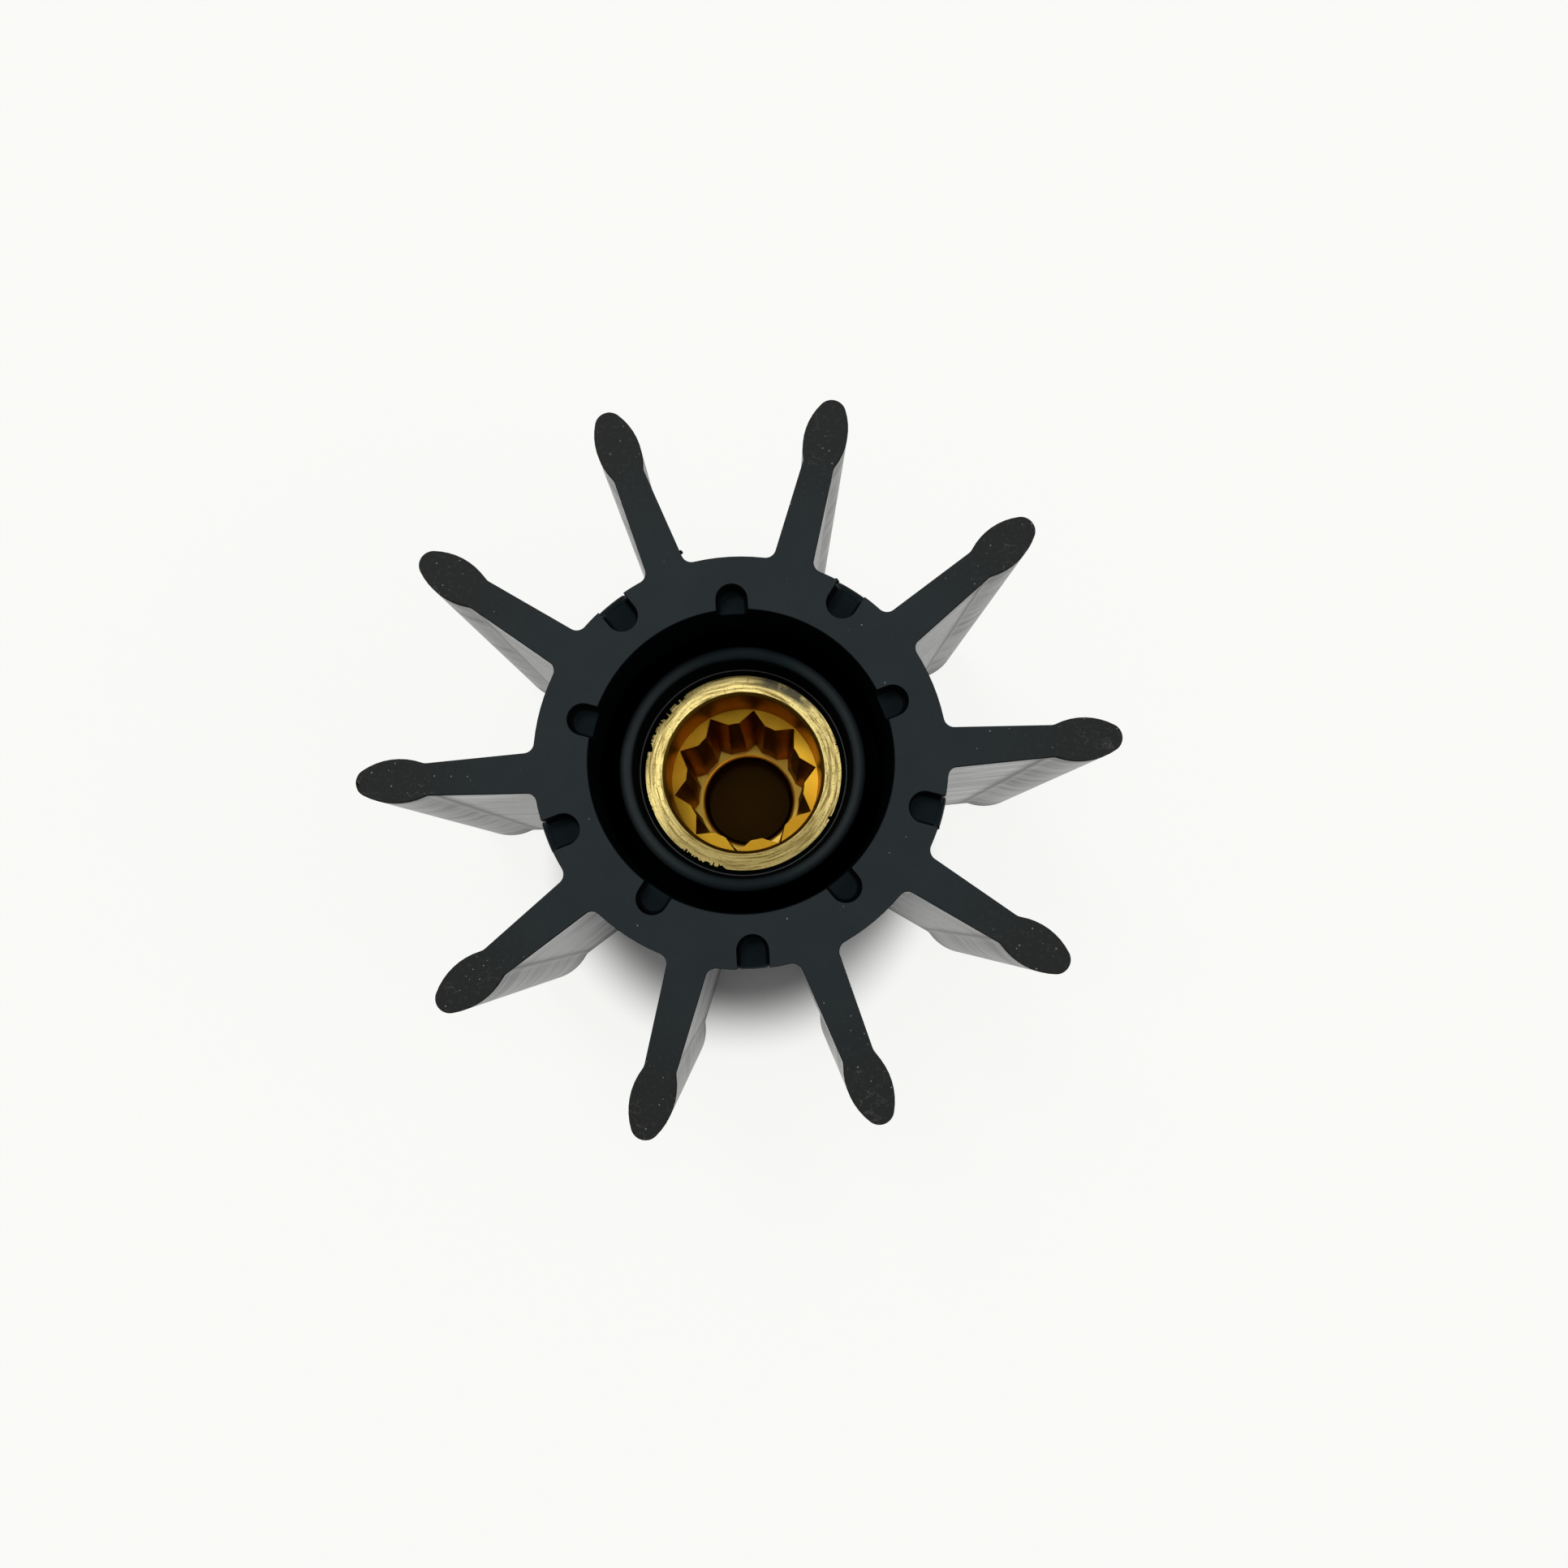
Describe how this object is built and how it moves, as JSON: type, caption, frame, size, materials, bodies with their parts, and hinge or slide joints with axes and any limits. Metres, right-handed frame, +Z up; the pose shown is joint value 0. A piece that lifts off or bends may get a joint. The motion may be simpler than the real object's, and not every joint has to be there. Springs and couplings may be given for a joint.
{
  "type": "flexible pump impeller",
  "caption": "Flexible vane pump impeller: a black rubber hub with bulb-tipped radial vanes moulded on a brass insert with an internal spline.",
  "frame": {"origin": "centre of the lower end face, on the axis of rotation", "axes": "+Z up along the axis of rotation, towards the end with the deep recess and the notches; +X to the right of the picture, 3.6 degrees from the middle of the vane beside it; +Y towards the picture's top"},
  "size_m": [0.0648, 0.063, 0.05],
  "materials": {
    "black_rubber": "matt",
    "turned_brass": "turned"
  },
  "bodies": {
    "root": {"rubber_body": "black_rubber", "splined_insert": "turned_brass"}
  },
  "joints": []
}
